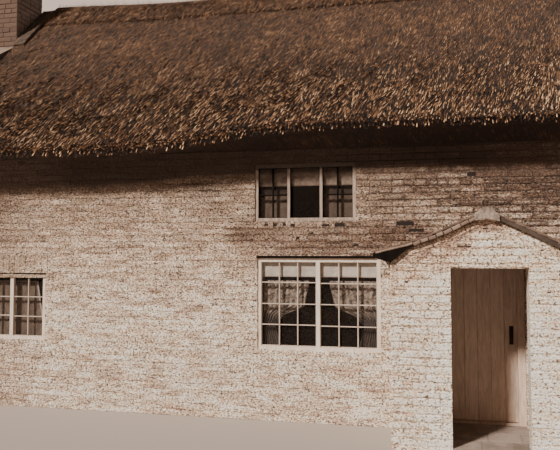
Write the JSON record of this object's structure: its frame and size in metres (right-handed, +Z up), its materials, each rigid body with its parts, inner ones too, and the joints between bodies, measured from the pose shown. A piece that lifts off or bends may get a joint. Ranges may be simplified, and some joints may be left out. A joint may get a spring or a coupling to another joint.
{
  "type": "thatched cottage",
  "caption": "Long storey-and-a-half thatched cottage with limewashed brick walls, a gable-end stack and a gabled brick porch over its front door.",
  "frame": {"origin": "centre of the main block's footprint, on the ground", "axes": "+X along the front to the right of somebody who faces it, +Y from the front to the back, +Z up; the front and the porch face -Y"},
  "size_m": [12.06, 6.682, 7.6],
  "materials": {
    "limewashed_brick": "worn limewash over old brick",
    "bare_brick": "weathered, unpainted",
    "thatch": "long straw, weathered and shaggy",
    "lime_mortar": "rough trowelled mortar",
    "painted_wood": "old pale paint",
    "dark_wood": "dark weathered boards",
    "floor_boards": "bare boards",
    "floor_flags": "worn flags",
    "roof_tile": "weathered tiles",
    "window_glass": "old uneven glass",
    "cloth": "linen and lace",
    "wrought_iron": "black, worn",
    "chimney_pot": "unglazed"
  },
  "bodies": {
    "house": {"front_wall_left": "limewashed_brick", "front_wall_over_door": "limewashed_brick", "front_wall_right": "limewashed_brick", "rear_wall": "limewashed_brick", "left_gable_wall": "limewashed_brick", "right_gable_wall": "limewashed_brick", "ground_floor": "floor_flags", "upper_floor": "floor_boards", "thatch_front": "thatch", "thatch_rear": "thatch", "thatch_ridge": "thatch", "chimney_stack": "bare_brick", "chimney_cap": "bare_brick", "chimney_pot_front": "chimney_pot", "chimney_pot_rear": "chimney_pot", "chimney_fillet": "lime_mortar", "porch_front_left": "limewashed_brick", "porch_front_right": "limewashed_brick", "porch_front_over_door": "limewashed_brick", "porch_side_left": "limewashed_brick", "porch_side_right": "limewashed_brick", "porch_roof_left": "roof_tile", "porch_roof_right": "roof_tile", "porch_ridge": "lime_mortar", "porch_floor": "floor_flags", "door_frame": "dark_wood", "left_window_frame": "painted_wood", "left_window_glass": "window_glass", "main_window_frame": "painted_wood", "main_window_glass": "window_glass", "upper_window_frame": "painted_wood", "upper_window_glass": "window_glass", "right_window_frame": "painted_wood", "right_window_glass": "window_glass", "rear_left_window_frame": "painted_wood", "rear_left_window_glass": "window_glass", "rear_right_window_frame": "painted_wood", "rear_right_window_glass": "window_glass", "rear_upper_window_frame": "painted_wood", "rear_upper_window_glass": "window_glass", "gable_window_frame": "painted_wood", "gable_window_glass": "window_glass", "main_window_hood": "dark_wood", "left_window_hood": "dark_wood", "right_window_hood": "dark_wood", "main_window_blind": "cloth", "upper_window_blind": "cloth", "main_curtain_left": "cloth", "main_curtain_right": "cloth", "left_window_net": "cloth", "upper_half_curtain_left": "cloth", "upper_half_curtain_right": "cloth"},
    "door": {"front_door": "dark_wood", "door_hinge_lower": "wrought_iron", "door_hinge_upper": "wrought_iron", "door_latch": "wrought_iron"}
  },
  "joints": [
    {"name": "door_swing", "type": "hinge", "parent": "house", "child": "door", "pos_m": [1.1, -2.392, 0.9], "axis": [0, 0, 1], "range_deg": [0, 95]}
  ]
}
